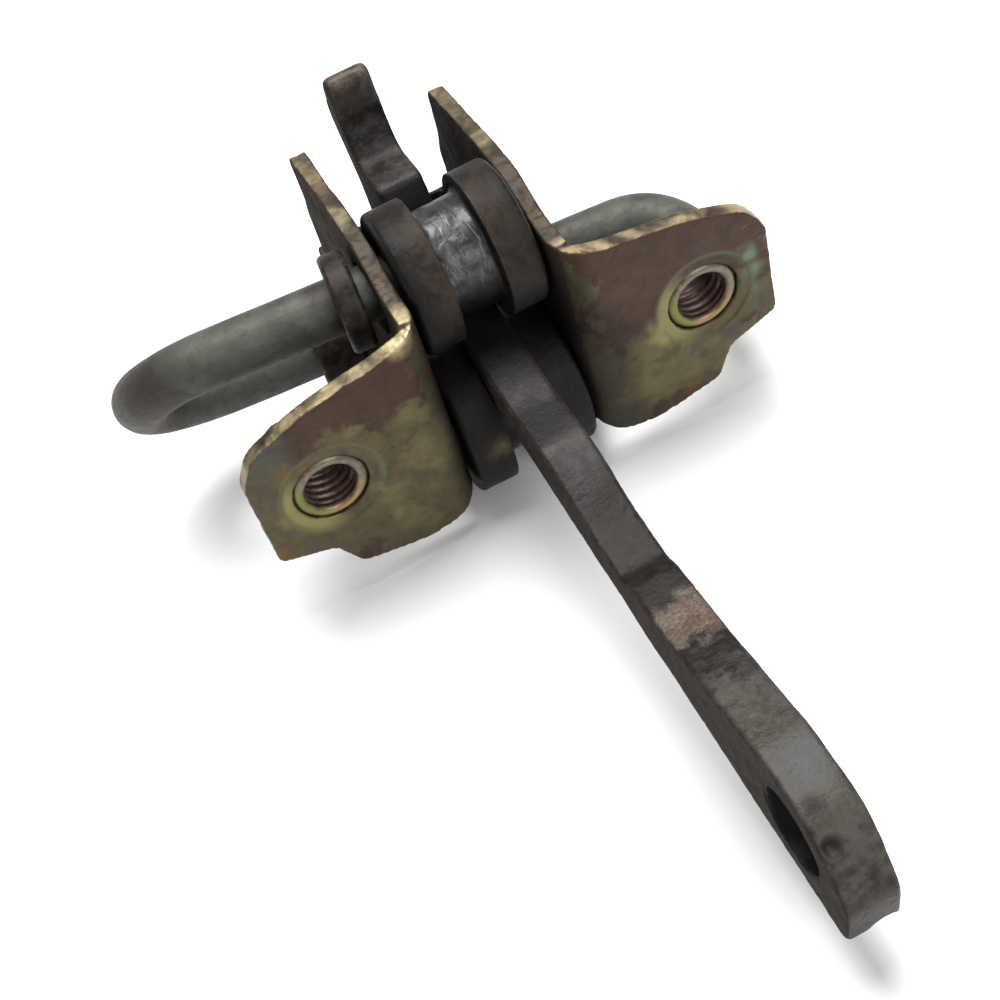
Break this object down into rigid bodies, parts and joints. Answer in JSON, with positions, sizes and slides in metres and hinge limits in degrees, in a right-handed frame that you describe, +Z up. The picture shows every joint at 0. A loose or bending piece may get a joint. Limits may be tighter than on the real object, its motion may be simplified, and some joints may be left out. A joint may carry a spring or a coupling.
{
  "type": "door check",
  "caption": "Vehicle door check: a hooked detent arm slides between two spool rollers in a flanged steel bracket, loaded by a hairpin spring bar.",
  "frame": {"origin": "midway between the two M8 mounting threads, on the bracket's front (mounting) face", "axes": "+X along the bolt line, +Y back into the door along the check arm's hook end, +Z up; the pivot eye points towards -Y"},
  "size_m": [0.0823, 0.1246, 0.0439],
  "materials": {
    "zinc_sheet": "yellow zinc plating, dulled and partly rusted",
    "zinc_nut": "yellow zinc plating, worn at the rim",
    "forged_arm": "dark forged scale, rubbed bright on the edges",
    "roller_steel": "polished track with brown rims",
    "spring_steel": "dull grey-green spring steel",
    "collar_steel": "browned steel",
    "pin_steel": "plain steel, headed ends"
  },
  "bodies": {
    "bracket": {"bracket": "zinc_sheet", "weld_nut_left": "zinc_nut", "weld_nut_right": "zinc_nut", "lower_roller_pin": "pin_steel", "spring_bar": "spring_steel", "spring_collar": "collar_steel", "far_collar": "collar_steel"},
    "arm": {"check_arm": "forged_arm"},
    "upper_roller": {"upper_roller": "roller_steel"},
    "lower_roller": {"lower_roller": "roller_steel"}
  },
  "joints": [
    {"name": "arm_slide", "type": "slide", "parent": "bracket", "child": "arm", "axis": [0, 0.9925, 0.1219], "range_m": [-0.009, 0.042]},
    {"name": "upper_roller_spin", "type": "hinge", "parent": "bracket", "child": "upper_roller", "pos_m": [0, 0.0128, 0.0133], "axis": [1, 0, 0], "continuous": true},
    {"name": "lower_roller_spin", "type": "hinge", "parent": "bracket", "child": "lower_roller", "pos_m": [0, 0.00982, -0.00888], "axis": [1, 0, 0], "continuous": true}
  ],
  "couplings": [
    {"joint": "upper_roller_spin", "follows": "arm_slide", "rad_per_m": 138.89},
    {"joint": "lower_roller_spin", "follows": "arm_slide", "rad_per_m": -138.89}
  ]
}
